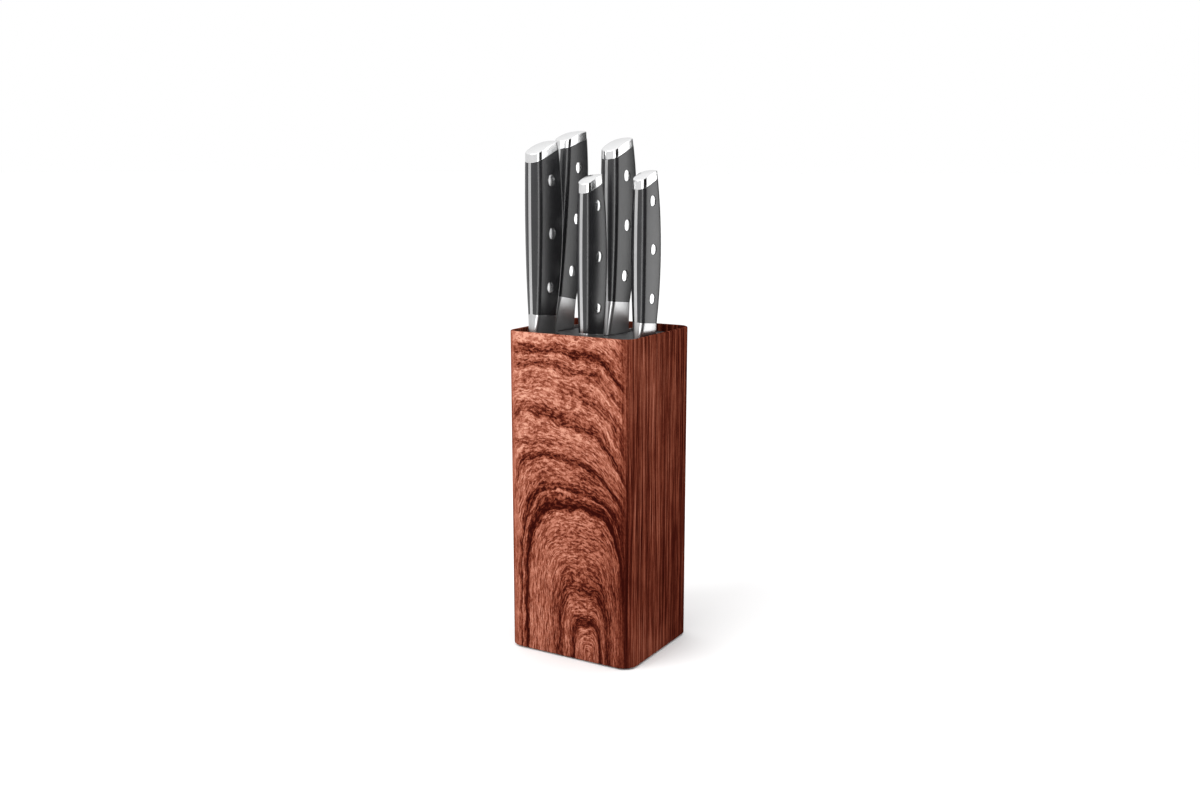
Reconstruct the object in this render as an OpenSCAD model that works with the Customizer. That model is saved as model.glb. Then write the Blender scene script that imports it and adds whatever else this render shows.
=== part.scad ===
// Knife block: a rectangular shell with a slotted insert, holding five full-tang knives.
// Millimetres, +Z up. Origin: middle of the footprint, on the surface the feet stand on.
// The front face looks towards -Y, and the knives' spines face the front.

/* [Block] */
// Outside width of the shell, left to right
block_w = 96; // [96:1:110]
// Outside depth of the shell, front to back
block_d = 86; // [86:1:100]
// Height of the rim above the surface the block stands on
block_h = 220; // [218:1:226]
// Outside radius of the four upright corners
corner_r = 10; // [6:0.5:14]
// Thickness of the shell's wall
wall = 2.4; // [1.8:0.1:2.6]
// Radius that softens the rim
rim_r = 0.8; // [0.3:0.1:0.8]
// How far the insert's top lies below the rim
insert_drop = 5; // [4:0.5:8]
// Thickness of the insert's plate
insert_t = 4; // [3:0.5:6]
// Gap between the insert or base plate and the shell
fit_gap = 0.2; // [0.1:0.05:0.4]
// Thickness of the base plate
base_t = 4; // [3.5:0.5:6]
// Gap under the shell, the height that the feet show
foot_show = 1.2; // [0.8:0.1:3]
// Diameter of each foot
foot_d = 12; // [8:1:14]
// Distance from the middle to a foot: left-right, front-back
foot_at = [36, 31]; // [28:1:37]

/* [Slots] */
// Width of every slot
slot_w = 3.8; // [3.4:0.1:4.4]
// Room in a slot before the spine and behind the edge of its blade
slot_room = 1.6; // [1:0.1:2]
// Wall of the sleeve that hangs under each slot
sleeve_wall = 1.4; // [1:0.1:1.6]
// How far the sleeves reach down below the insert's plate
sleeve_l = 70; // [40:1:90]

/* [Posts and screws] */
// Diameter of the posts that carry the insert
post_d = 9; // [8:0.5:10]
// Distance from the middle to a post: left-right, front-back
post_at = [19.5, 33.5]; // [18:0.5:34]
// Diameter of a base screw's shank
screw_d = 3.5; // [3:0.1:4]
// Diameter of a base screw's countersunk head
screw_head_d = 7; // [6.5:0.1:7.4]
// Length of a base screw
screw_l = 18; // [14:1:24]

/* [All knives] */
// How far every knife is turned in plan, its edge towards the right side, degrees
knife_turn = 6; // [0:0.5:7]
// Thickness of the full tang
tang_t = 2.2; // [1.8:0.1:2.6]
// Thickness of a blade at its spine
blade_t = 2.4; // [1.8:0.1:2.6]
// Thickness of a blade at its edge
edge_t = 0.3; // [0.2:0.1:0.5]
// Slope of the butt end, higher at the edge side, degrees
butt_slope = 22; // [15:1:27]
// Slope of the scales' lower end, lower at the edge side, degrees
bolster_slope = 6.5; // [0:0.5:8]
// Height of a butt cap's side
cap_h = 4.8; // [3:0.1:6]
// Rise of a butt cap's domed top above its rim
cap_dome = 1.5; // [0.5:0.1:2]
// Angle at which the rounded back of a handle meets its flat sides, degrees
back_angle = 50; // [40:1:60]
// How much a handle's sides swell between back and front
side_swell = 0.35; // [0:0.05:0.5]
// Gap round a rivet in its scale
rivet_gap = 0.12; // [0.08:0.01:0.15]
// How far a rivet stands proud of its scale
rivet_proud = 0.15; // [0.05:0.05:0.2]
// How much the bolster's half thickness shrinks for each millimetre downwards
bolster_taper = 0.105; // [0.05:0.005:0.12]
// How much the bolster widens at its back and belly for each millimetre downwards
foot_spread = 0.055; // [0:0.005:0.08]
// Gap between a bolster's foot and the insert it rests on
rest_gap = 0.3; // [0.2:0.05:0.5]

/* [Large handles] */
// Half thickness at the bolster, the middle and the butt
large_half_t = [4.8, 6.75, 6.6]; // [4:0.05:8]
// Place of the back at the bolster, the middle and the butt
large_back = [0, -0.6, -0.2]; // [-2:0.1:2]
// Place of the belly at the bolster, the middle and the butt
large_belly = [23, 29, 25]; // [18:0.1:30]
// Diameter of a rivet
large_rivet_d = 7.5; // [6:0.1:8]
// Places of the rivets, as shares of the handle's length
large_rivets = [0.177, 0.514, 0.842]; // [0.12:0.001:0.88]

/* [Small handles] */
// Half thickness at the bolster, the middle and the butt
small_half_t = [4.5, 5.5, 5.0]; // [4:0.05:8]
// Place of the back at the bolster, the middle and the butt
small_back = [0, -0.9, 0]; // [-2:0.1:2]
// Place of the belly at the bolster, the middle and the butt
small_belly = [20, 23.2, 19.5]; // [18:0.1:30]
// Diameter of a rivet
small_rivet_d = 6.7; // [5:0.1:7]
// Places of the rivets, as shares of the handle's length
small_rivets = [0.177, 0.53, 0.876]; // [0.12:0.001:0.88]

/* [Slicing knife] */
// Place of its spine in the block: left-right, front-back
slicing_at = [-33.3, -33]; // [-34:0.1:-31]
// Lean of the knife towards the back, degrees
slicing_lean = 0; // [0:0.1:1]
// Length of its scales along the back
slicing_scale_l = 98.4; // [90:0.1:105]
// Height of its bolster
slicing_bolster_h = 15.2; // [10:0.1:20]
// Length and greatest width of its blade
slicing_blade = [196, 27]; // [26:1:200]

/* [Bread knife] */
// Place of its spine in the block: left-right, front-back
bread_at = [-38.3, 1]; // [-39:0.1:3]
// Lean of the knife towards the back, degrees
bread_lean = 4.9; // [0:0.1:5.2]
// Length of its scales along the back
bread_scale_l = 98.9; // [90:0.1:105]
// Height of its bolster
bread_bolster_h = 24.4; // [18:0.1:26]
// Length and greatest width of its blade
bread_blade = [198, 31]; // [29:1:200]

/* [Chef's knife] */
// Place of its spine in the block: left-right, front-back
chef_at = [3.8, 2]; // [1:0.1:4]
// Lean of the knife towards the back, degrees
chef_lean = 0; // [0:0.1:1]
// Length of its scales along the back
chef_scale_l = 92.9; // [90:0.1:105]
// Height of its bolster
chef_bolster_h = 22.9; // [18:0.1:26]
// Length and greatest width of its blade
chef_blade = [200, 35]; // [33:1:202]

/* [Utility knife] */
// Place of its spine in the block: left-right, front-back
utility_at = [5.2, -32]; // [-33:0.1:6]
// Lean of the knife towards the back, degrees
utility_lean = 0; // [0:0.1:1]
// Length of its scales along the back
utility_scale_l = 89.3; // [80:0.1:95]
// Height of its bolster
utility_bolster_h = 5.1; // [4:0.1:10]
// Length and greatest width of its blade
utility_blade = [130, 22]; // [20:1:150]

/* [Paring knife] */
// Place of its spine in the block: left-right, front-back
paring_at = [37.4, -18]; // [-20:0.1:38]
// Lean of the knife towards the back, degrees
paring_lean = 0; // [0:0.1:1]
// Length of its scales along the back
paring_scale_l = 84.2; // [80:0.1:95]
// Height of its bolster
paring_bolster_h = 12.7; // [8:0.1:16]
// Length and greatest width of its blade
paring_blade = [95, 20]; // [19:1:110]

/* [Hidden] */

$fn = 64;

// Colours
wood = [0.42, 0.20, 0.12];
charcoal = [0.10, 0.10, 0.11];
black = [0.03, 0.03, 0.035];
steel = [0.78, 0.79, 0.80];
rubber = [0.05, 0.05, 0.05];

// Heights in the block
insert_top = block_h - insert_drop;
insert_under = insert_top - insert_t;
base_inset = 1;
base_z = foot_show + base_inset;
base_top = base_z + base_t;
foot_recess = 1.5;

// Clearance of a screw in its plate, and how much of it grips
hole_gap = 0.2;
pilot_gap = 0.05;
head_cone_h = 2.2;
driver_slot = [5, 1.1, 1.2];

// A knife's rings: how many stretches a handle, a back's arc and a side are cut into
handle_steps = 10;
arc_steps = 5;
side_steps = 4;
blade_steps = 24;

// Fields of a knife
AT = 0; LEAN = 1; SCALE_L = 2; BOLSTER_H = 3; BLADE = 4;
HALF_T = 5; BACK = 6; BELLY = 7; RIVET_D = 8; RIVETS = 9;
slicing = [slicing_at, slicing_lean, slicing_scale_l, slicing_bolster_h, slicing_blade,
           large_half_t, large_back, large_belly, large_rivet_d, large_rivets];
bread = [bread_at, bread_lean, bread_scale_l, bread_bolster_h, bread_blade,
         large_half_t, large_back, large_belly, large_rivet_d, large_rivets];
chef = [chef_at, chef_lean, chef_scale_l, chef_bolster_h, chef_blade,
        large_half_t, large_back, large_belly, large_rivet_d, large_rivets];
utility = [utility_at, utility_lean, utility_scale_l, utility_bolster_h, utility_blade,
           small_half_t, small_back, small_belly, small_rivet_d, small_rivets];
paring = [paring_at, paring_lean, paring_scale_l, paring_bolster_h, paring_blade,
          small_half_t, small_back, small_belly, small_rivet_d, small_rivets];
KNIVES = [slicing, bread, chef, utility, paring];

// How far the tang and the blade run on into the bolster
lap = 1.5;

// Scallops of the bread knife
tooth_pitch = 8;
tooth_r = 6;
tooth_depth = 1.1;

// A smooth curve through three values, at x = 0, 0.5 and 1
function through(values, x) =
    values[0] * (1 - x) * (1 - 2 * x) + values[1] * 4 * x * (1 - x) + values[2] * x * (2 * x - 1);

// Height of a handle's cross-section at share x: it falls to the belly at the bolster, and rises at the butt
function ring_z(k, x, v) = x * (k[SCALE_L] + v * tan(butt_slope)) - (1 - x) * v * tan(bolster_slope);

// Right half of a handle's cross-section, from the spine round to the belly, from u = inner outwards
function half_ring(half_t, back, belly, inner) =
    let (
        r = half_t / sin(back_angle),
        a0 = asin(inner / r),
        rise = r * (1 - cos(back_angle)),
        arc = [for (i = [0:arc_steps]) let (a = a0 + (back_angle - a0) * i / arc_steps)
            [r * sin(a), r * (1 - cos(a))]]
    )
    concat(
        [for (p = arc) [p[0], back + p[1]]],
        [for (i = [1:side_steps - 1]) let (f = i / side_steps)
            [half_t + side_swell * 4 * f * (1 - f), back + rise + f * (belly - back - 2 * rise)]],
        [for (i = [arc_steps:-1:0]) [arc[i][0], belly - arc[i][1]]]
    );

function handle_half(k, x, inner) =
    half_ring(through(k[HALF_T], x), through(k[BACK], x), through(k[BELLY], x), inner);

// A whole outline from its right half
function both_halves(half) =
    concat(half, [for (i = [len(half) - 1:-1:0]) [-half[i][0], half[i][1]]]);

// The whole outline of a handle at share x, in space
function handle_ring(k, x) = [for (p = both_halves(handle_half(k, x, 0))) [p[0], p[1], ring_z(k, x, p[1])]];

// A closed solid through rings that have the same number of points
module loft(rings) {
    n = len(rings[0]);
    last = len(rings) - 1;
    polyhedron(
        points = [for (ring = rings) for (p = ring) p],
        faces = concat(
            [[for (j = [0:n - 1]) j]],
            [for (i = [0:last - 1]) for (j = [0:n - 1])
                [i * n + j, (i + 1) * n + j, (i + 1) * n + (j + 1) % n]],
            [for (i = [0:last - 1]) for (j = [0:n - 1])
                [i * n + j, (i + 1) * n + (j + 1) % n, i * n + (j + 1) % n]],
            [[for (j = [n - 1:-1:0]) last * n + j]]
        )
    );
}

// A flat outline of [v, z] points, made into a plate of thickness t that is centred on u = 0
module upright_plate(t) {
    rotate([90, 0, 90]) linear_extrude(t, center = true) children();
}

// Puts a knife drawn about its scales' lower end into its place in the block
module in_place(k) {
    translate([k[AT][0], k[AT][1], insert_top + rest_gap + k[BOLSTER_H]])
        rotate([0, 0, -knife_turn]) rotate([-k[LEAN], 0, 0]) children();
}

// ---- The block ----

module round_rect(w, d, r) {
    square([w - 2 * r, d], center = true);
    square([w, d - 2 * r], center = true);
    for (x = [-1, 1], y = [-1, 1]) translate([x * (w / 2 - r), y * (d / 2 - r)]) circle(r);
}

module shell_outline(inset) {
    round_rect(block_w - 2 * inset, block_d - 2 * inset, corner_r - inset);
}

// The rounded upright box without a top or bottom, its rim softened in one small step
module outer_shell() {
    color(wood) difference() {
        union() {
            translate([0, 0, foot_show]) linear_extrude(block_h - rim_r - foot_show) shell_outline(0);
            translate([0, 0, block_h - rim_r - 0.01]) linear_extrude(rim_r + 0.01) shell_outline(rim_r / 2);
        }
        translate([0, 0, foot_show - 1]) linear_extrude(block_h - foot_show + 2) shell_outline(wall);
    }
}

// The room that a blade takes, in the knife's own frame, grown all round
module blade_room(k, grow) {
    w = slot_w + 2 * grow;
    d = k[BLADE][1] + 2 * slot_room + 2 * grow;
    top = 60;
    translate([-w / 2, -slot_room - grow, -k[BOLSTER_H] - block_h]) cube([w, d, block_h + top]);
}

module slotted_insert() {
    color(charcoal) difference() {
        translate([0, 0, insert_under]) linear_extrude(insert_t) shell_outline(wall + fit_gap);
        for (k = KNIVES) in_place(k) blade_room(k, 0);
    }
}

// The sleeve that keeps a blade upright below its slot
module sleeve(k) {
    color(charcoal) intersection() {
        difference() {
            in_place(k) blade_room(k, sleeve_wall);
            in_place(k) blade_room(k, 0);
        }
        translate([-block_w, -block_d, insert_under - sleeve_l]) cube([2 * block_w, 2 * block_d, sleeve_l]);
    }
}

module at_posts() {
    for (x = [-1, 1], y = [-1, 1]) translate([x * post_at[0], y * post_at[1], 0]) children();
}

module at_feet() {
    for (x = [-1, 1], y = [-1, 1]) translate([x * foot_at[0], y * foot_at[1], 0]) children();
}

// A countersunk screw pointing up, its head's face at z = 0, with room added all round
module screw_body(room) {
    cylinder(h = head_cone_h, d1 = screw_head_d + 2 * room, d2 = screw_d + 2 * room);
    cylinder(h = screw_l, d = screw_d + 2 * room);
}

module base_plate() {
    color(charcoal) difference() {
        translate([0, 0, base_z]) linear_extrude(base_t) shell_outline(wall + fit_gap);
        at_posts() translate([0, 0, base_z]) screw_body(hole_gap);
        at_feet() translate([0, 0, base_z - 1]) cylinder(h = 1 + foot_recess, d = foot_d + 2 * fit_gap);
    }
}

module insert_posts() {
    color(charcoal) at_posts() difference() {
        translate([0, 0, base_top]) cylinder(h = insert_under - base_top, d = post_d);
        translate([0, 0, base_top - 1]) cylinder(h = screw_l - base_t + 2, d = screw_d + 2 * pilot_gap);
    }
}

module base_screws() {
    color(steel) at_posts() translate([0, 0, base_z]) difference() {
        screw_body(0);
        for (a = [0, 90]) rotate([0, 0, a]) cube(driver_slot, center = true);
    }
}

module rubber_feet() {
    color(rubber) at_feet() cylinder(h = base_z + foot_recess, d = foot_d);
}

// ---- The knives, each drawn with its scales' lower end at z = 0 and its spine along v = 0 ----

module rivet_holes(k) {
    for (x = k[RIVETS])
        at_rivet(k, x) cylinder(h = 4 * k[HALF_T][1], r = k[RIVET_D] / 2 + rivet_gap, center = true);
}

module at_rivet(k, x) {
    v = (through(k[BACK], x) + through(k[BELLY], x)) / 2;
    translate([0, v, ring_z(k, x, v)]) rotate([0, 90, 0]) children();
}

module right_scale(k) {
    difference() {
        loft([for (i = [0:handle_steps]) let (x = i / handle_steps)
            [for (p = handle_half(k, x, tang_t / 2)) [p[0], p[1], ring_z(k, x, p[1])]]]);
        rivet_holes(k);
    }
}

module left_scale(k) {
    mirror([1, 0, 0]) right_scale(k);
}

module rivets(k) {
    for (x = k[RIVETS]) {
        length = 2 * (through(k[HALF_T], x) + side_swell + rivet_proud);
        at_rivet(k, x) cylinder(h = length, d = k[RIVET_D], center = true);
    }
}

// The cap goes on as the handle does, and ends in a low dome over the sloped butt
module butt_cap(k) {
    belly = k[BELLY][2];
    reach = belly / cos(butt_slope);
    dome_r = reach * reach / (8 * cap_dome) + cap_dome / 2;
    intersection() {
        loft([handle_ring(k, 1), handle_ring(k, 1.1)]);
        translate([0, 0, k[SCALE_L]]) rotate([butt_slope, 0, 0])
            translate([0, reach / 2, cap_h + cap_dome - dome_r]) sphere(dome_r, $fn = 200);
    }
}

// The tang's outline reaches the handle's surface on the spine and on the belly, and laps into the bolster
module tang(k) {
    steps = [for (i = [0:handle_steps]) i / handle_steps];
    spine = [for (x = steps) let (p = handle_half(k, x, tang_t / 2)[0]) [p[1], ring_z(k, x, p[1])]];
    belly = [for (x = steps) let (h = handle_half(k, x, tang_t / 2), p = h[len(h) - 1])
        [p[1], ring_z(k, x, p[1])]];
    lapped = [belly[0] - [lap, lap], spine[0] + [lap, -lap]];
    upright_plate(tang_t) polygon(concat(spine, [for (i = [len(belly) - 1:-1:0]) belly[i]], lapped));
}

// Height of a bolster's foot, level in the block even where the knife leans
function foot_z(k, v) = -k[BOLSTER_H] + v * tan(k[LEAN]);

// From the handle's full section down to a thin foot that rests on the insert
module bolster(k) {
    foot_half_t = k[HALF_T][0] - bolster_taper * k[BOLSTER_H];
    spread = foot_spread * k[BOLSTER_H];
    foot_half = half_ring(foot_half_t, k[BACK][0] - spread, k[BELLY][0] + spread, 0);
    loft([
        [for (p = both_halves(foot_half)) [p[0], p[1], foot_z(k, p[1])]],
        handle_ring(k, 0)
    ]);
}

// Place of the edge at share x of the blade's length: straight, then curving up to the tip
function edge_v(k, x, straight) =
    x < straight ? k[BLADE][1] : k[BLADE][1] * (1 - pow((x - straight) / (1 - straight), 2.2) * 0.93);

// Place of the spine at share x: straight, then dropping a little to the tip
function spine_v(k, x) = x < 0.6 ? 0 : k[BLADE][1] * 0.06 * pow((x - 0.6) / 0.4, 2);

// The blade, ground to a wedge: its heel is cut level with the bolster's foot, the rest laps into the bolster
module blade_body(k, straight) {
    l = k[BLADE][0];
    w = k[BLADE][1];
    top = -k[BOLSTER_H];
    heel = k[BELLY][0] - lap;
    shares = [for (i = [1:blade_steps]) i / blade_steps];
    intersection() {
        upright_plate(2 * blade_t) polygon(concat(
            [[w, foot_z(k, w)], [heel, foot_z(k, heel)]],
            [[heel, foot_z(k, heel) + lap], [0, foot_z(k, 0) + lap]],
            [for (x = shares) [spine_v(k, x), top - l * x]],
            [for (i = [blade_steps - 1:-1:0]) [edge_v(k, shares[i], straight), top - l * shares[i]]]
        ));
        translate([0, 0, top - l]) linear_extrude(l + w)
            polygon([[-blade_t / 2, 0], [blade_t / 2, 0], [edge_t / 2, w], [-edge_t / 2, w]]);
    }
}

// Scallops along the bread knife's edge
module teeth(k, straight) {
    count = floor(k[BLADE][0] * straight / tooth_pitch) - 1;
    for (i = [0:count])
        translate([0, k[BLADE][1] + tooth_r - tooth_depth, -k[BOLSTER_H] - (i + 1) * tooth_pitch])
            rotate([0, 90, 0]) cylinder(h = 4, r = tooth_r, center = true);
}

// Blade, bolster and full tang, forged in one piece
module knife_steel(k, straight, toothed) {
    difference() {
        union() {
            tang(k);
            bolster(k);
            blade_body(k, straight);
        }
        rivet_holes(k);
        if (toothed) teeth(k, straight);
    }
}

module slicing_sleeve() { sleeve(slicing); }
module bread_sleeve() { sleeve(bread); }
module chef_sleeve() { sleeve(chef); }
module utility_sleeve() { sleeve(utility); }
module paring_sleeve() { sleeve(paring); }

module slicing_blade() { color(steel) in_place(slicing) knife_steel(slicing, 0.62, false); }
module slicing_left_scale() { color(black) in_place(slicing) left_scale(slicing); }
module slicing_right_scale() { color(black) in_place(slicing) right_scale(slicing); }
module slicing_rivets() { color(steel) in_place(slicing) rivets(slicing); }
module slicing_butt_cap() { color(steel) in_place(slicing) butt_cap(slicing); }

module bread_blade() { color(steel) in_place(bread) knife_steel(bread, 0.88, true); }
module bread_left_scale() { color(black) in_place(bread) left_scale(bread); }
module bread_right_scale() { color(black) in_place(bread) right_scale(bread); }
module bread_rivets() { color(steel) in_place(bread) rivets(bread); }
module bread_butt_cap() { color(steel) in_place(bread) butt_cap(bread); }

module chef_blade() { color(steel) in_place(chef) knife_steel(chef, 0.35, false); }
module chef_left_scale() { color(black) in_place(chef) left_scale(chef); }
module chef_right_scale() { color(black) in_place(chef) right_scale(chef); }
module chef_rivets() { color(steel) in_place(chef) rivets(chef); }
module chef_butt_cap() { color(steel) in_place(chef) butt_cap(chef); }

module utility_blade() { color(steel) in_place(utility) knife_steel(utility, 0.5, false); }
module utility_left_scale() { color(black) in_place(utility) left_scale(utility); }
module utility_right_scale() { color(black) in_place(utility) right_scale(utility); }
module utility_rivets() { color(steel) in_place(utility) rivets(utility); }
module utility_butt_cap() { color(steel) in_place(utility) butt_cap(utility); }

module paring_blade() { color(steel) in_place(paring) knife_steel(paring, 0.4, false); }
module paring_left_scale() { color(black) in_place(paring) left_scale(paring); }
module paring_right_scale() { color(black) in_place(paring) right_scale(paring); }
module paring_rivets() { color(steel) in_place(paring) rivets(paring); }
module paring_butt_cap() { color(steel) in_place(paring) butt_cap(paring); }

outer_shell();
slotted_insert();
base_plate();
insert_posts();
base_screws();
rubber_feet();
slicing_sleeve();
bread_sleeve();
chef_sleeve();
utility_sleeve();
paring_sleeve();
slicing_blade();
slicing_left_scale();
slicing_right_scale();
slicing_rivets();
slicing_butt_cap();
bread_blade();
bread_left_scale();
bread_right_scale();
bread_rivets();
bread_butt_cap();
chef_blade();
chef_left_scale();
chef_right_scale();
chef_rivets();
chef_butt_cap();
utility_blade();
utility_left_scale();
utility_right_scale();
utility_rivets();
utility_butt_cap();
paring_blade();
paring_left_scale();
paring_right_scale();
paring_rivets();
paring_butt_cap();
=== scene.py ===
"""The looks of a knife block with five knives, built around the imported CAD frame.

A knife is drawn in millimetres in its own axes: u across, v from spine to belly, z up,
with the lower end of its handle scales at z = 0. in_place() turns that into the frame's metres.
"""
import bmesh
import bpy
from math import asin, cos, degrees, pi, radians, sin, sqrt, tan
from mathutils import Matrix, Vector


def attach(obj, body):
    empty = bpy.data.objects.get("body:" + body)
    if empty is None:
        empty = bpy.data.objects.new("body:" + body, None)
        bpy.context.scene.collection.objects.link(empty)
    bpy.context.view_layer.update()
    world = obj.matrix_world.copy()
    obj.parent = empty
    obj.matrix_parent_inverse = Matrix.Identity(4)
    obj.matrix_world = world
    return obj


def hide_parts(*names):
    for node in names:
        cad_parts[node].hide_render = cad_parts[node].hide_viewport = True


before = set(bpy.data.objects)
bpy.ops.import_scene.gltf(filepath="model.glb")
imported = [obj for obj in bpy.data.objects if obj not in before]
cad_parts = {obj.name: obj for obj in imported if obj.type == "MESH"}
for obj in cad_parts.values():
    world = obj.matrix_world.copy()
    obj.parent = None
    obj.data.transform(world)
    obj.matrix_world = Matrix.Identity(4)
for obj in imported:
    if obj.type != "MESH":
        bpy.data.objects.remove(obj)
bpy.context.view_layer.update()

MM = 0.001

# ---- Sizes, in millimetres, that the pieces share with the CAD part ----

BLOCK_W, BLOCK_D, BLOCK_H = 96, 86, 220
CORNER_R, WALL, RIM_R, FOOT_R = 10, 2.4, 0.8, 0.4
FOOT_SHOW = 1.2
INSERT_TOP, INSERT_T, FIT_GAP = 215, 4, 0.2
SLOT_W, SLOT_ROOM = 3.8, 1.6

KNIFE_TURN = radians(6)
TANG_T, BLADE_T, EDGE_T = 2.2, 2.4, 0.3
# A blade's rounded spine, its ground bevel, and the share of its thickness lost at the tip
SPINE_EASE, GRIND_W, TIP_THINNING = 0.25, 1.4, 0.35
BUTT_SLOPE, BOLSTER_SLOPE = radians(22), radians(6.5)
CAP_H, CAP_DOME = 4.8, 1.5
BACK_ANGLE = radians(50)
SIDE_SWELL, CREASE_REACH = 0.35, 1.8
RIVET_GAP, RIVET_PROUD = 0.12, 0.15
BOLSTER_TAPER, FOOT_SPREAD, REST_GAP = 0.105, 0.055, 0.3
TOOTH_PITCH, TOOTH_R, TOOTH_DEPTH = 8, 6, 1.1
# How far the tang and the blade run into the bolster
LAP = 1.5

LARGE = dict(half_t=(4.8, 6.75, 6.6), back=(0, -0.6, -0.2), belly=(23, 29, 25), rivet_d=7.5,
             rivets=(0.177, 0.514, 0.842))
SMALL = dict(half_t=(4.5, 5.5, 5.0), back=(0, -0.9, 0), belly=(20, 23.2, 19.5), rivet_d=6.7,
             rivets=(0.177, 0.53, 0.876))
KNIVES = (
    dict(LARGE, name="slicing", at=(-33.3, -33), lean=0, scale_l=98.4, bolster_h=15.2,
         blade=(196, 27), straight=0.62),
    dict(LARGE, name="bread", at=(-38.3, 1), lean=radians(4.9), scale_l=98.9, bolster_h=24.4,
         blade=(198, 31), straight=0.88),
    dict(LARGE, name="chef", at=(3.8, 2), lean=0, scale_l=92.9, bolster_h=22.9,
         blade=(200, 35), straight=0.35),
    dict(SMALL, name="utility", at=(5.2, -32), lean=0, scale_l=89.3, bolster_h=5.1,
         blade=(130, 22), straight=0.5),
    dict(SMALL, name="paring", at=(37.4, -18), lean=0, scale_l=84.2, bolster_h=12.7,
         blade=(95, 20), straight=0.4),
)


# ---- Nodes of a material ----

class Shader:
    """Builds one material. Wherever a value is asked for, a number or a node's output will do."""

    def __init__(self, name):
        self.material = bpy.data.materials.new(name)
        self.material.use_nodes = True
        self.tree = self.material.node_tree
        self.surface = self.tree.nodes["Principled BSDF"]

    def put(self, socket, value):
        if isinstance(value, bpy.types.NodeSocket):
            self.tree.links.new(value, socket)
        else:
            socket.default_value = value

    def set(self, **values):
        """Sets the shader's own sockets, such as Base_Color or Roughness."""
        for name, value in values.items():
            self.put(self.surface.inputs[name.replace("_", " ")], value)

    def new(self, kind, **settings):
        node = self.tree.nodes.new(kind)
        for name, value in settings.items():
            setattr(node, name, value)
        return node

    def millimetres(self):
        """The point in the frame, in millimetres, as (vector, x, y, z)."""
        scaled = self.new("ShaderNodeVectorMath", operation="SCALE")
        scaled.inputs["Scale"].default_value = 1 / MM
        self.put(scaled.inputs[0], self.new("ShaderNodeTexCoord").outputs["Object"])
        parts = self.new("ShaderNodeSeparateXYZ")
        self.put(parts.inputs[0], scaled.outputs[0])
        return scaled.outputs[0], *parts.outputs

    def math(self, operation, *values, clamp=False):
        node = self.new("ShaderNodeMath", operation=operation, use_clamp=clamp)
        for socket, value in zip(node.inputs, values):
            self.put(socket, value)
        return node.outputs[0]

    def add(self, *values):
        total = values[0]
        for value in values[1:]:
            total = self.math("ADD", total, value)
        return total

    def times(self, a, b):
        return self.math("MULTIPLY", a, b)

    def vector(self, x, y, z):
        node = self.new("ShaderNodeCombineXYZ")
        for socket, value in zip(node.inputs, (x, y, z)):
            self.put(socket, value)
        return node.outputs[0]

    def noise(self, vector, scale=1.0, detail=2.0, rough=0.5, twist=0.0):
        """Noise about 0, reaching roughly -0.5 and 0.5."""
        node = self.new("ShaderNodeTexNoise")
        self.put(node.inputs["Vector"], vector)
        settings = dict(Scale=scale, Detail=detail, Roughness=rough, Distortion=twist)
        for name, value in settings.items():
            node.inputs[name].default_value = value
        return self.math("SUBTRACT", node.outputs[0], 0.5)

    def between(self, value, low, high, to_low=0.0, to_high=1.0):
        """Goes smoothly from to_low to to_high as value goes from low to high."""
        node = self.new("ShaderNodeMapRange", interpolation_type="SMOOTHSTEP")
        for socket, number in zip(node.inputs, (value, low, high, to_low, to_high)):
            self.put(socket, number)
        return node.outputs[0]

    def ramp(self, value, stops):
        """A colour ramp, its stops given as (place, grey or colour)."""
        node = self.new("ShaderNodeValToRGB")
        elements = node.color_ramp.elements
        while len(elements) < len(stops):
            elements.new(0.5)
        for element, (place, colour) in zip(elements, stops):
            element.position = place
            element.color = (*(colour if isinstance(colour, tuple) else (colour,) * 3), 1)
        self.put(node.inputs[0], value)
        return node.outputs[0]

    def bump(self, height, depth, strength=1.0):
        """A bump whose height of 1 stands for depth millimetres."""
        node = self.new("ShaderNodeBump")
        node.inputs["Strength"].default_value = strength
        node.inputs["Distance"].default_value = depth * MM
        self.put(node.inputs["Height"], height)
        self.put(self.surface.inputs["Normal"], node.outputs[0])


# ---- Materials ----

# Dark veins across the growth rings: place, half width and darkness
VEINS = (
    (10.0, 1.6, 0.85), (18.0, 3.0, 0.45), (38.0, 1.5, 1.0), (41.5, 1.0, 0.6), (49.0, 1.2, 0.8),
    (52.5, 0.8, 0.45), (59.0, 1.3, 0.95), (65.5, 1.2, 0.5), (71.0, 1.2, 0.7), (74.5, 1.2, 0.95),
)
RING_RANGE = 80
WOOD_COLOURS = (
    (0.00, (0.026, 0.003, 0.002)), (0.22, (0.080, 0.013, 0.007)), (0.40, (0.170, 0.040, 0.021)),
    (0.60, (0.290, 0.090, 0.055)), (0.80, (0.430, 0.165, 0.110)), (1.00, (0.600, 0.290, 0.205)),
)


def wrapped_place(s, x, y):
    """How far round the shell a point lies from the middle of its front, in millimetres."""
    across = s.math("ABSOLUTE", x)
    from_front = s.add(across, y, BLOCK_D / 2)
    from_back = s.math("SUBTRACT", s.add(y, BLOCK_D / 2 + BLOCK_W), across)
    share = s.between(y, -20, 20)
    size = s.add(s.times(from_front, s.math("SUBTRACT", 1, share)), s.times(from_back, share))
    return s.times(s.math("SIGN", x), size)


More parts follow.
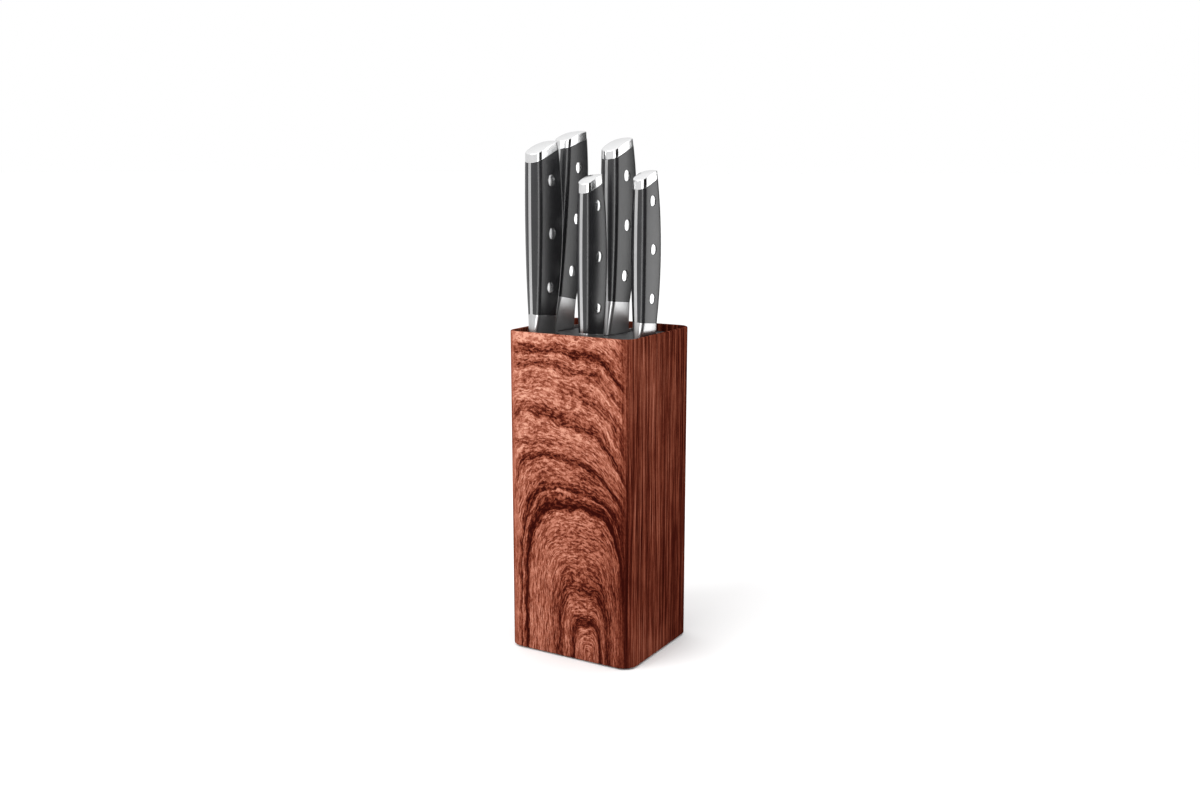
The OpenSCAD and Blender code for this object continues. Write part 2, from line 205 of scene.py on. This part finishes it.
def ring_place(s, along, z, point):
    """Growth rings as the print's front shows them: nested arches that lean to the left as they rise."""
    high = s.between(z, 105, 170)
    centre = s.add(18, s.times(high, -40))
    off = s.math("SUBTRACT", along, centre)
    is_right = s.math("GREATER_THAN", off, 0)
    left_scale = s.add(0.76, s.times(high, 0.5))
    right_scale = s.add(1.4, s.times(high, -0.75))
    scale = s.add(left_scale, s.times(is_right, s.math("SUBTRACT", right_scale, left_scale)))
    power = s.add(5, s.times(is_right, -2.5))
    side = s.math("POWER", s.times(s.math("ABSOLUTE", off), scale), power)
    sway = s.noise(s.vector(s.times(along, 0.030), 0, s.times(z, 0.022)), detail=1)
    up = s.add(s.times(s.math("MAXIMUM", z, 0.5), 0.355), s.times(sway, 6))
    rise = s.math("POWER", s.math("MAXIMUM", up, 0.1), power)
    ring = s.math("POWER", s.add(side, rise), s.math("DIVIDE", 1, power))
    wobble = s.noise(point, 0.11, detail=3, rough=0.6)
    return s.add(ring, s.times(wobble, 2.2))


def vein_ramp(s, ring):
    stops = [(0.0, 0.0)]
    for place, half, dark in VEINS:
        stops += [((place - half) / RING_RANGE, 0.0), (place / RING_RANGE, dark),
                  ((place + 2 * half) / RING_RANGE, 0.0)]
    return s.ramp(s.math("DIVIDE", ring, RING_RANGE), stops)


def figure(s, ring, along, z, veined, ringed, flecked, run):
    """The print's light and dark along one set of growth rings.

    run is how fast its flecks change with height.
    """
    ring_point = s.vector(s.times(ring, 0.45), s.times(along, 0.01), s.times(z, 0.004))
    fine_rings = s.noise(ring_point, detail=5, rough=0.75)
    outer = s.between(ring, 36, 60, 0.25, 1.0)
    fleck_point = s.vector(s.times(ring, 2.0), s.times(along, 0.2), s.times(z, run))
    fleck = s.noise(fleck_point, detail=3, rough=0.7)
    return s.add(
        s.times(vein_ramp(s, ring), veined),
        s.times(s.times(fine_rings, outer), ringed),
        s.times(s.between(fleck, -0.12, 0.12, -0.5, 0.5), flecked),
    )


def printed_wood():
    s = Shader("printed_wood")
    point, x, y, z = s.millimetres()
    along = wrapped_place(s, x, y)
    off = s.math("ABSOLUTE", along)
    ring = ring_place(s, along, z, point)
    sway = s.noise(s.vector(s.times(along, 0.04), 0, s.times(z, 0.012)), detail=2)
    line = s.add(s.times(off, 1.05), s.times(sway, 3.5))
    arches = figure(s, ring, along, z, s.between(z, 120, 175, -0.66, -0.48), 1.2, 0.48, 0.10)
    lines = figure(s, line, along, z, -0.20, 1.6, 0.40, 0.025)
    aside = s.between(s.add(off, s.times(sway, 6)), 35, 49)
    grain_point = s.vector(s.times(ring, 1.1), s.times(along, 0.6), s.times(z, 0.38))
    grain = s.noise(grain_point, detail=3, rough=0.75)
    cloud = s.noise(point, 0.03, detail=2)
    above_arch = s.times(s.between(ring, 37, 40), s.between(ring, 42, 52, 1.0, 0.0))
    smudge = s.times(above_arch, s.between(z, 88, 108))
    low = s.between(z, 30, 190, 1.0, 0.0)
    light = s.add(
        # Darker side faces: partly the print's own darker tone, partly painted shade for the light the
        # sides miss
        s.between(off, 34, 54, 0.66, 0.31),
        s.times(s.between(along, 0, 40, 0, -0.24), s.times(low, s.between(along, 42, 54, 1.0, 0.0))),
        s.times(s.between(along, -20, -50, -0.10, 0.04), s.between(off, 46, 56, 1.0, 0.0)),
        s.times(s.between(z, 70, 125, -0.05, 0.13), s.between(along, -10, 30, 1.0, 0.2)),
        s.between(off, 58, 130, 0.0, -0.13),
        s.times(arches, s.math("SUBTRACT", 1, aside)),
        s.times(lines, aside),
        s.times(smudge, -0.16),
        s.times(grain, s.between(off, 40, 52, 0.95, 0.25)),
        s.times(cloud, 0.45),
    )
    s.set(Base_Color=s.ramp(light, WOOD_COLOURS), Specular_IOR_Level=0.0)
    s.set(Roughness=s.add(0.6, s.times(grain, 0.12)))
    s.bump(grain, 0.02)
    return s.material


def black_handle():
    s = Shader("black_handle")
    point, x, y, z = s.millimetres()
    streak = s.noise(s.vector(s.times(x, 0.8), s.times(y, 0.8), s.times(z, 0.05)), detail=3)
    haze = s.noise(point, 0.12, detail=3)
    tone = s.add(0.5, s.times(streak, 0.6), s.times(haze, 0.4))
    s.set(Base_Color=s.ramp(tone, ((0.0, (0.006, 0.006, 0.007)), (1.0, (0.020, 0.020, 0.022)))))
    s.set(Roughness=s.add(0.25, s.times(haze, 0.06), s.times(streak, 0.04)))
    return s.material


def steel(name, tone, rough, lines, grain=(0.05, 0.05, 6.0)):
    """Steel with fine lines: grain gives how fast they change along x, y and z."""
    s = Shader(name)
    point, x, y, z = s.millimetres()
    stretched = s.vector(s.times(x, grain[0]), s.times(y, grain[1]), s.times(z, grain[2]))
    line = s.noise(stretched, detail=4, rough=0.7)
    cloud = s.noise(point, 0.09, detail=3)
    light = s.add(0.5, s.times(line, 0.7), s.times(cloud, 0.5))
    s.set(Base_Color=s.ramp(light, ((0.0, (tone * 0.84,) * 3), (1.0, (tone, tone, tone * 1.01)))))
    s.set(Metallic=1.0, Roughness=s.add(rough, s.times(line, lines), s.times(cloud, 0.06)))
    s.bump(line, 0.004 * lines / 0.1)
    return s.material


def moulded(name, dark, pale, rough, pitch=1.8, depth=0.03):
    """Moulded plastic or rubber with a fine eroded texture."""
    s = Shader(name)
    point, *_ = s.millimetres()
    pebble = s.noise(point, pitch, detail=2)
    cloud = s.noise(point, 0.06, detail=2)
    tone = s.add(0.5, s.times(pebble, 0.8), s.times(cloud, 0.5))
    s.set(Base_Color=s.ramp(tone, ((0.0, dark), (1.0, pale))))
    s.set(Roughness=s.add(rough, s.times(pebble, 0.15)), Specular_IOR_Level=0.3)
    s.bump(pebble, depth)
    return s.material


# ---- Meshes ----

def loft(rings, closed=False):
    """A solid through rings of as many points each; closed joins the last ring to the first."""
    bm = bmesh.new()
    rows = [[bm.verts.new(p) for p in ring] for ring in rings]
    count = len(rows[0])
    pairs = list(zip(rows, rows[1:])) + ([(rows[-1], rows[0])] if closed else [])
    for lower, upper in pairs:
        for j in range(count):
            bm.faces.new((lower[j], lower[(j + 1) % count], upper[(j + 1) % count], upper[j]))
    if not closed:
        bm.faces.new(rows[0])
        bm.faces.new(rows[-1])
    bmesh.ops.remove_doubles(bm, verts=bm.verts, dist=1e-4)
    bmesh.ops.recalc_face_normals(bm, faces=bm.faces)
    return bm


def soften(bm, width, segments=3, limit=25):
    """Rounds the edges whose faces meet at more than limit degrees."""
    folds = [e for e in bm.edges if len(e.link_faces) == 2]
    sharp = [e for e in folds if degrees(e.calc_face_angle(0)) > limit]
    bmesh.ops.bevel(bm, geom=sharp, offset=width, offset_type="OFFSET", segments=segments,
                    profile=0.5, affect="EDGES", clamp_overlap=True, harden_normals=False)
    return bm


def to_mesh(bm, name):
    mesh = bpy.data.meshes.new(name)
    bm.to_mesh(mesh)
    bm.free()
    return mesh


def boolean(bm, operation, tools):
    """bm with the tools, given as bmesh solids, cut away from it or joined to it."""
    base = bpy.data.objects.new("base", to_mesh(bm, "base"))
    bpy.context.scene.collection.objects.link(base)
    helpers = []
    for tool in tools:
        helper = bpy.data.objects.new("tool", to_mesh(tool, "tool"))
        bpy.context.scene.collection.objects.link(helper)
        modifier = base.modifiers.new("cut", "BOOLEAN")
        modifier.operation = operation
        modifier.solver = "EXACT"
        modifier.object = helper
        helpers.append(helper)
    graph = bpy.context.evaluated_depsgraph_get()
    result = bmesh.new()
    result.from_mesh(bpy.data.meshes.new_from_object(base.evaluated_get(graph)))
    # Most of the slivers that the cuts leave
    bmesh.ops.dissolve_degenerate(result, dist=0.002, edges=result.edges)
    for item in (base, *helpers):
        bpy.data.objects.remove(item)
    return result


def piece(bm, name, material, body, nodes, matrix=Matrix.Scale(MM, 4), sharp=32):
    """Makes the finished object from bm, in the frame, standing for the CAD nodes."""
    mesh = to_mesh(bm, name)
    mesh.transform(matrix)
    materials = material if isinstance(material, (list, tuple)) else (material,)
    for m in materials:
        mesh.materials.append(m)
    for polygon in mesh.polygons:
        polygon.use_smooth = True
    mesh.set_sharp_from_angle(angle=radians(sharp))
    obj = bpy.data.objects.new(name, mesh)
    bpy.context.scene.collection.objects.link(obj)
    weighted = obj.modifiers.new("normals", "WEIGHTED_NORMAL")
    weighted.keep_sharp = True
    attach(obj, body)
    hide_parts(*nodes)
    return obj


# ---- The block ----

def rounded_outline(inset, steps=14):
    """Outline of the shell, moved inwards by inset."""
    w, d, r = BLOCK_W / 2 - inset, BLOCK_D / 2 - inset, CORNER_R - inset
    points = []
    for corner, (sx, sy) in enumerate(((1, 1), (-1, 1), (-1, -1), (1, -1))):
        for i in range(steps + 1):
            a = (corner + i / steps) * pi / 2
            points.append((sx * (w - r) + r * cos(a), sy * (d - r) + r * sin(a)))
    return points


def shell():
    bottom, top = FOOT_SHOW, BLOCK_H
    low, high = bottom + FOOT_R, top - RIM_R
    quarter = steps_to(pi / 2)
    section = [(FOOT_R - FOOT_R * sin(a), low - FOOT_R * cos(a)) for a in quarter]
    section += [(RIM_R - RIM_R * cos(a), high + RIM_R * sin(a)) for a in quarter]
    section += [(WALL - RIM_R + RIM_R * sin(a), high + RIM_R * cos(a)) for a in quarter]
    section += [(WALL - FOOT_R + FOOT_R * cos(a), low - FOOT_R * sin(a)) for a in quarter]
    return loft([[(x, y, z) for x, y in rounded_outline(inset)] for inset, z in section], closed=True)


def steps_to(end, count=5):
    return [end * i / count for i in range(count + 1)]


def slot_hole(k):
    """The opening for a blade in the insert, with rounded corners."""
    lean = k["lean"]
    drop = (k["bolster_h"] + REST_GAP) * tan(lean)
    v0 = -SLOT_ROOM / cos(lean) - drop
    v1 = (k["blade"][1] + SLOT_ROOM) / cos(lean) - drop
    r, steps = 0.9, 4
    corners = ((SLOT_W / 2, v1), (-SLOT_W / 2, v1), (-SLOT_W / 2, v0), (SLOT_W / 2, v0))
    outline = []
    for corner, (u, v) in enumerate(corners):
        cu, cv = u - r * (1 if u > 0 else -1), v - r * (1 if v == v1 else -1)
        for i in range(steps + 1):
            a = (corner + i / steps) * pi / 2
            outline.append((cu + r * cos(a), cv + r * sin(a)))
    turn = Matrix.Rotation(-KNIFE_TURN, 2)
    placed = [turn @ Vector(p) + Vector(k["at"]) for p in outline]
    return loft([[(p.x, p.y, z) for p in placed] for z in (INSERT_TOP - INSERT_T - 2, INSERT_TOP + 2)])


def insert():
    inset = WALL + FIT_GAP
    heights = (INSERT_TOP - INSERT_T, INSERT_TOP)
    plate = loft([[(x, y, z) for x, y in rounded_outline(inset)] for z in heights])
    cut = boolean(plate, "DIFFERENCE", [slot_hole(k) for k in KNIVES])
    return soften(cut, 0.35, segments=3, limit=40)


# ---- A knife ----

ARC_STEPS, CREASE_STEPS, SIDE_STEPS, HANDLE_STEPS = 8, 6, 5, 26


def through(values, x):
    """A smooth curve through three values, at x = 0, 0.5 and 1."""
    low, middle, high = values
    return low * (1 - x) * (1 - 2 * x) + middle * 4 * x * (1 - x) + high * x * (2 * x - 1)


def ring_z(k, x, v):
    """Height of a handle's section at share x.

    The section falls to the belly at the bolster, and rises to it at the butt.
    """
    return x * (k["scale_l"] + v * tan(BUTT_SLOPE)) - (1 - x) * v * tan(BOLSTER_SLOPE)


def half_ring(half_t, back, belly, inner):
    """Right half of a handle's section, from the back to the belly.

    It is a round back, a rounded crease, a side that swells, and the same again mirrored.
    """
    r = half_t / sin(BACK_ANGLE)
    rise = r * (1 - cos(BACK_ANGLE))
    depth = belly - back - 2 * rise

    def arc(a):
        return r * sin(a), back + r * (1 - cos(a))

    def side(f):
        return half_t + SIDE_SWELL * 4 * f * (1 - f), back + rise + f * depth

    start, end, low = asin(inner / r), BACK_ANGLE - CREASE_REACH / r, CREASE_REACH / depth
    points = [arc(start + (end - start) * i / ARC_STEPS) for i in range(ARC_STEPS + 1)]
    first, corner, last = Vector(points[-1]), Vector(side(0)), Vector(side(low))
    for i in range(1, CREASE_STEPS):
        t = i / CREASE_STEPS
        points.append(tuple(first * (1 - t) ** 2 + corner * 2 * t * (1 - t) + last * t * t))
    points += [side(low + (0.5 - low) * i / SIDE_STEPS) for i in range(SIDE_STEPS + 1)]
    return points + [(u, back + belly - v) for u, v in reversed(points[:-1])]


def handle_half(k, x, inner):
    return half_ring(through(k["half_t"], x), through(k["back"], x), through(k["belly"], x), inner)


def both_halves(half):
    """A whole section from its right half, without doubling the points on the middle line."""
    return half + [(-u, v) for u, v in reversed(half) if u > 1e-6]


def in_place(k):
    """The knife's own millimetres to the frame's metres."""
    x, y = k["at"]
    lift = INSERT_TOP + REST_GAP + k["bolster_h"]
    return (Matrix.Scale(MM, 4) @ Matrix.Translation((x, y, lift))
            @ Matrix.Rotation(-KNIFE_TURN, 4, "Z") @ Matrix.Rotation(-k["lean"], 4, "X"))


def rivet_centres(k):
    for x in k["rivets"]:
        v = (through(k["back"], x) + through(k["belly"], x)) / 2
        yield x, v, ring_z(k, x, v)


def turned(profile, v, z, steps=48):
    """A pin along u, turned from its profile of (u, radius), about the line at v, z."""
    rings = [[(u, v + r * cos(2 * pi * i / steps), z + r * sin(2 * pi * i / steps)) for i in range(steps)]
             for u, r in profile]
    return loft(rings)


def rivet_cutters(k):
    r = k["rivet_d"] / 2 + RIVET_GAP
    reach = 2 * k["half_t"][1]
    return [turned(((-reach, r), (reach, r)), v, z) for x, v, z in rivet_centres(k)]


def scale(k, side):
    """One handle scale; side is 1 on the right and -1 on the left."""
    shares = [i / HANDLE_STEPS for i in range(HANDLE_STEPS + 1)]
    halves = [(x, handle_half(k, x, TANG_T / 2)) for x in shares]
    bm = loft([[(side * u, v, ring_z(k, x, v)) for u, v in half] for x, half in halves])
    return soften(boolean(bm, "DIFFERENCE", rivet_cutters(k)), 0.22, segments=3)


def rivets(k):
    """Three pins through the handle with low domed heads."""
    joined = bmesh.new()
    radius = k["rivet_d"] / 2
    for x, v, z in rivet_centres(k):
        end = through(k["half_t"], x) + SIDE_SWELL + RIVET_PROUD
        dome = 0.30
        head_radii = (radius - 0.25, radius * 0.8, radius * 0.6, radius * 0.4, radius * 0.2, 0.02)
        head = [(end - dome * (r / radius) ** 2, r) for r in head_radii]
        edge = [(end - dome - 0.16, radius), (end - dome - 0.03, radius - 0.08)]
        right = edge + head
        profile = [(-u, r) for u, r in reversed(right)] + right
        pin = turned(profile, v, z, steps=40)
        joined.from_mesh(to_mesh(pin, "pin"))
    return joined


def butt_cap(k):
    """The steel cap: it goes on as the handle does, and ends in a low dome over the sloped butt."""
    belly, length = k["belly"][2], k["scale_l"]
    slope_cos, slope_sin = cos(BUTT_SLOPE), sin(BUTT_SLOPE)
    reach = belly / slope_cos
    dome_r = reach * reach / (8 * CAP_DOME) + CAP_DOME / 2

    def top_z(u, v):
        z = v * tan(BUTT_SLOPE) + CAP_H / slope_cos
        # The dome's rise depends on z itself, so it is worked out in rounds
        for _ in range(8):
            along = v * slope_cos + z * slope_sin - reach / 2
            rise = CAP_H + CAP_DOME - dome_r + sqrt(dome_r ** 2 - u * u - along * along)
            z = v * tan(BUTT_SLOPE) + rise / slope_cos
        return length + z

    outline = both_halves(handle_half(k, 1 + CAP_H / length, 0))
    middle = belly / 2
    rings = [[(u, v, ring_z(k, 1, v)) for u, v in both_halves(handle_half(k, 1, 0))]]
    for share in (1, 0.94, 0.8, 0.62, 0.42, 0.2, 0.03):
        spots = [(u * share, middle + (v - middle) * share) for u, v in outline]
        rings.append([(u, v, top_z(u, v)) for u, v in spots])
    return soften(loft(rings), 0.45, segments=4, limit=28)


def foot_z(k, v):
    """Height of the bolster's foot, level in the block even where the knife leans."""
    return -k["bolster_h"] + v * tan(k["lean"])


def bolster(k):
    h = k["bolster_h"]
    steps = 8
    rings = []
    for i in range(steps + 1):
        share = i / steps
        half_t = k["half_t"][0] - BOLSTER_TAPER * h * share
        back = k["back"][0] - FOOT_SPREAD * h * share
        belly = k["belly"][0] + FOOT_SPREAD * h * share
        outline = both_halves(half_ring(half_t, back, belly, 0))
        rings.append([(u, v, foot_z(k, v) * share + ring_z(k, 0, v) * (1 - share)) for u, v in outline])
    return soften(loft(rings), 0.2, segments=3, limit=40)


def tang(k):
    """The full tang, its edges flush with the scales on the spine and on the belly."""
    shares = [i / HANDLE_STEPS for i in range(HANDLE_STEPS + 1)]
    rings = []
    for x in shares:
        half = handle_half(k, x, TANG_T / 2)
        spine, belly = half[0][1], half[-1][1]
        corners = ((-1, spine), (1, spine), (1, belly), (-1, belly))
        down = LAP if x == 0 else 0
        rings.append([(side * TANG_T / 2, v, ring_z(k, x, v) - down) for side, v in corners])
    return loft(rings)


def edge_v(k, x):
    """Place of the cutting edge at share x of the blade."""
    width, straight = k["blade"][1], k["straight"]
    bend = max(0, (x - straight) / (1 - straight))
    return width * (1 - 0.93 * bend ** 2.2)


def spine_v(k, x):
    return k["blade"][1] * 0.06 * (max(0, x - 0.6) / 0.4) ** 2


def tooth_cut(k, down):
    """How deep the bread knife's scallops cut in at a distance down its edge."""
    if k["name"] != "bread" or down < TOOTH_PITCH / 2 or down > k["blade"][0] * k["straight"]:
        return 0
    off = (down + TOOTH_PITCH / 2) % TOOTH_PITCH - TOOTH_PITCH / 2
    return max(0, sqrt(TOOTH_R ** 2 - off ** 2) - TOOTH_R + TOOTH_DEPTH)


def blade(k):
    """The blade: a wedge from spine to edge, with a narrow ground bevel along the edge."""
    length, width = k["blade"]
    count = 400 if k["name"] == "bread" else 90
    rings = []
    for i in range(count + 1):
        x = i / count
        z = -k["bolster_h"] - length * x
        spine, edge = spine_v(k, x), edge_v(k, x)
        grind = edge - min(GRIND_W, 0.45 * (edge - spine))
        edge -= tooth_cut(k, length * x)
        half = BLADE_T / 2
        taper = 1 - TIP_THINNING * x

        def thick(v):
            return (half + (EDGE_T / 2 - half) * v / width) * taper

        rounded = spine + min(SPINE_EASE, 0.2 * (edge - spine))
        side = [(thick(spine) - SPINE_EASE * taper, spine), (thick(spine), rounded),
                (thick(grind), grind), (0.05, edge)]
        section = side + [(-u, v) for u, v in reversed(side)]
        rings.append([(u, v, z + (LAP + v * tan(k["lean"]) if i == 0 else 0)) for u, v in section])
    return loft(rings)


def knife_steel(k):
    """Blade, bolster and tang in one, the blade's faces on the second material."""
    whole = boolean(bolster(k), "UNION", [tang(k), blade(k)])
    whole = boolean(whole, "DIFFERENCE", rivet_cutters(k))
    for face in whole.faces:
        middle = face.calc_center_median()
        if middle.z < foot_z(k, middle.y) - 0.05:
            face.material_index = 1
    return whole


# ---- The studio ----

def studio():
    world = bpy.data.worlds.new("studio")
    bpy.context.scene.world = world
    world.use_nodes = True
    tree = world.node_tree
    surroundings = tree.nodes["Background"]

    def node(kind, **settings):
        made = tree.nodes.new(kind)
        for name, value in settings.items():
            setattr(made, name, value)
        return made

    def link(output, socket):
        tree.links.new(output, socket)

    direction = node("ShaderNodeSeparateXYZ")
    link(node("ShaderNodeTexCoord").outputs["Generated"], direction.inputs[0])
    sky = node("ShaderNodeMapRange", interpolation_type="SMOOTHSTEP")
    link(direction.outputs[2], sky.inputs[0])
    for socket, number in zip(sky.inputs[1:5], (0.25, 0.9, 0.92, 1.28)):
        socket.default_value = number
    surroundings.inputs["Color"].default_value = (1, 1, 1, 1)
    link(sky.outputs[0], surroundings.inputs["Strength"])
    backdrop = node("ShaderNodeBackground")
    backdrop.inputs["Color"].default_value = (1, 1, 1, 1)
    chooser = node("ShaderNodeMixShader")
    link(node("ShaderNodeLightPath").outputs["Is Camera Ray"], chooser.inputs[0])
    link(surroundings.outputs[0], chooser.inputs[1])
    link(backdrop.outputs[0], chooser.inputs[2])
    link(chooser.outputs[0], tree.nodes["World Output"].inputs["Surface"])


def softbox(name, azimuth, elevation, distance, size, power, target=(0, 0, 0.16),
            mirrored_only=False):
    """An area light seen from the object at that azimuth, 0 in front and 90 at the right.

    With mirrored_only it shows in reflections but gives matt surfaces no light.
    """
    light = bpy.data.lights.new(name, "AREA")
    light.shape = "RECTANGLE"
    light.size, light.size_y = size
    light.energy = power
    lamp = bpy.data.objects.new(name, light)
    a, e = radians(azimuth), radians(elevation)
    back = Vector((sin(a) * cos(e), -cos(a) * cos(e), sin(e)))
    lamp.location = Vector(target) + back * distance
    lamp.rotation_mode = "QUATERNION"
    lamp.rotation_quaternion = (-back).to_track_quat("-Z", "Y")
    lamp.visible_camera = False
    lamp.visible_diffuse = not mirrored_only
    bpy.context.scene.collection.objects.link(lamp)


def dark_card(name, start, end, distance, height, material):
    """A black card standing between two azimuths, which only reflections see."""
    bm = bmesh.new()
    steps = 12
    angles = [radians(start + (end - start) * i / steps) for i in range(steps + 1)]
    rows = [[bm.verts.new((distance * sin(a), -distance * cos(a), z)) for a in angles]
            for z in (0.0, height)]
    for i in range(steps):
        bm.faces.new((rows[0][i], rows[0][i + 1], rows[1][i + 1], rows[1][i]))
    mesh = to_mesh(bm, name)
    mesh.materials.append(material)
    card = bpy.data.objects.new(name, mesh)
    card.visible_camera = card.visible_diffuse = card.visible_shadow = False
    bpy.context.scene.collection.objects.link(card)


def dark_cards():
    """One card draws the dark lines along the creases, the other darkens the rearmost knife's side."""
    s = Shader("black_card")
    s.set(Base_Color=(0.004, 0.004, 0.004, 1), Roughness=1.0, Specular_IOR_Level=0.0)
    dark_card("right_card", 62, 115, 0.42, 0.5, s.material)
    dark_card("rear_card", 141, 172, 0.30, 0.5, s.material)


def floor():
    s = Shader("pale_floor")
    point, *_ = s.millimetres()
    tone = s.add(0.5, s.noise(point, 0.01, detail=2))
    s.set(Base_Color=s.ramp(tone, ((0.0, 0.90), (1.0, 0.93))))
    s.set(Roughness=0.9, Specular_IOR_Level=0.0)
    bm = bmesh.new()
    bmesh.ops.create_grid(bm, x_segments=8, y_segments=8, size=40)
    mesh = to_mesh(bm, "floor")
    mesh.materials.append(s.material)
    plane = bpy.data.objects.new("floor", mesh)
    bpy.context.scene.collection.objects.link(plane)


def camera():
    """The photograph's view: 30.6 degrees round to the right and 10.8 degrees up."""
    azimuth, elevation = radians(30.55), radians(10.78)
    target, distance = Vector((0, 0, 0.1707)), 0.8424
    back = Vector((sin(azimuth) * cos(elevation), -cos(azimuth) * cos(elevation), sin(elevation)))
    data = bpy.data.cameras.new("view")
    data.sensor_width, data.lens = 36, 37.18
    obj = bpy.data.objects.new("view", data)
    obj.location = target + back * distance
    obj.rotation_mode = "QUATERNION"
    obj.rotation_quaternion = (-back).to_track_quat("-Z", "Y")
    bpy.context.scene.collection.objects.link(obj)
    bpy.context.scene.camera = obj


# ---- Everything together ----

camera()
studio()
floor()
dark_cards()
softbox("key", -20, 38, 1.5, (1.0, 1.0), 13)
softbox("strip", 42, 0, 0.52, (0.18, 0.6), 1.5, target=(0, 0, 0.30), mirrored_only=True)
softbox("rear", 139, 0, 0.6, (0.30, 0.6), 1.1, target=(0, 0, 0.30), mirrored_only=True)
bpy.context.scene.view_settings.view_transform = "Standard"

wood = printed_wood()
black = black_handle()
polished = steel("polished_steel", 0.77, 0.18, 0.05)
satin = steel("satin_steel", 0.50, 0.30, 0.10, grain=(1.6, 1.6, 0.04))
brushed = steel("brushed_steel", 0.46, 0.34, 0.14)
screw = steel("screw_steel", 0.62, 0.30, 0.08, grain=(2, 2, 2))
charcoal = moulded("charcoal_plastic", (0.012, 0.012, 0.013), (0.026, 0.026, 0.028), 0.55)
rubber = moulded("foot_rubber", (0.010, 0.010, 0.010), (0.022, 0.022, 0.022), 0.75,
                 pitch=2.6, depth=0.05)

piece(shell(), "wood_shell", wood, "block", ["outer_shell"])
piece(insert(), "slotted_top", charcoal, "block", ["slotted_insert"])

for k in KNIVES:
    name = k["name"]
    body, place = name + "_knife", in_place(k)
    steels = (satin, brushed)
    piece(knife_steel(k), name + "_steel", steels, body, [name + "_blade"], place)
    piece(scale(k, -1), name + "_scale_left", black, body, [name + "_left_scale"], place)
    piece(scale(k, 1), name + "_scale_right", black, body, [name + "_right_scale"], place)
    piece(rivets(k), name + "_pins", polished, body, [name + "_rivets"], place)
    piece(butt_cap(k), name + "_cap", polished, body, [name + "_butt_cap"], place)

CARRIED = {
    "base_plate": charcoal, "insert_posts": charcoal, "base_screws": screw, "rubber_feet": rubber,
    **{k["name"] + "_sleeve": charcoal for k in KNIVES},
}
for node, material in CARRIED.items():
    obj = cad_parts[node]
    obj.data.materials.clear()
    obj.data.materials.append(material)
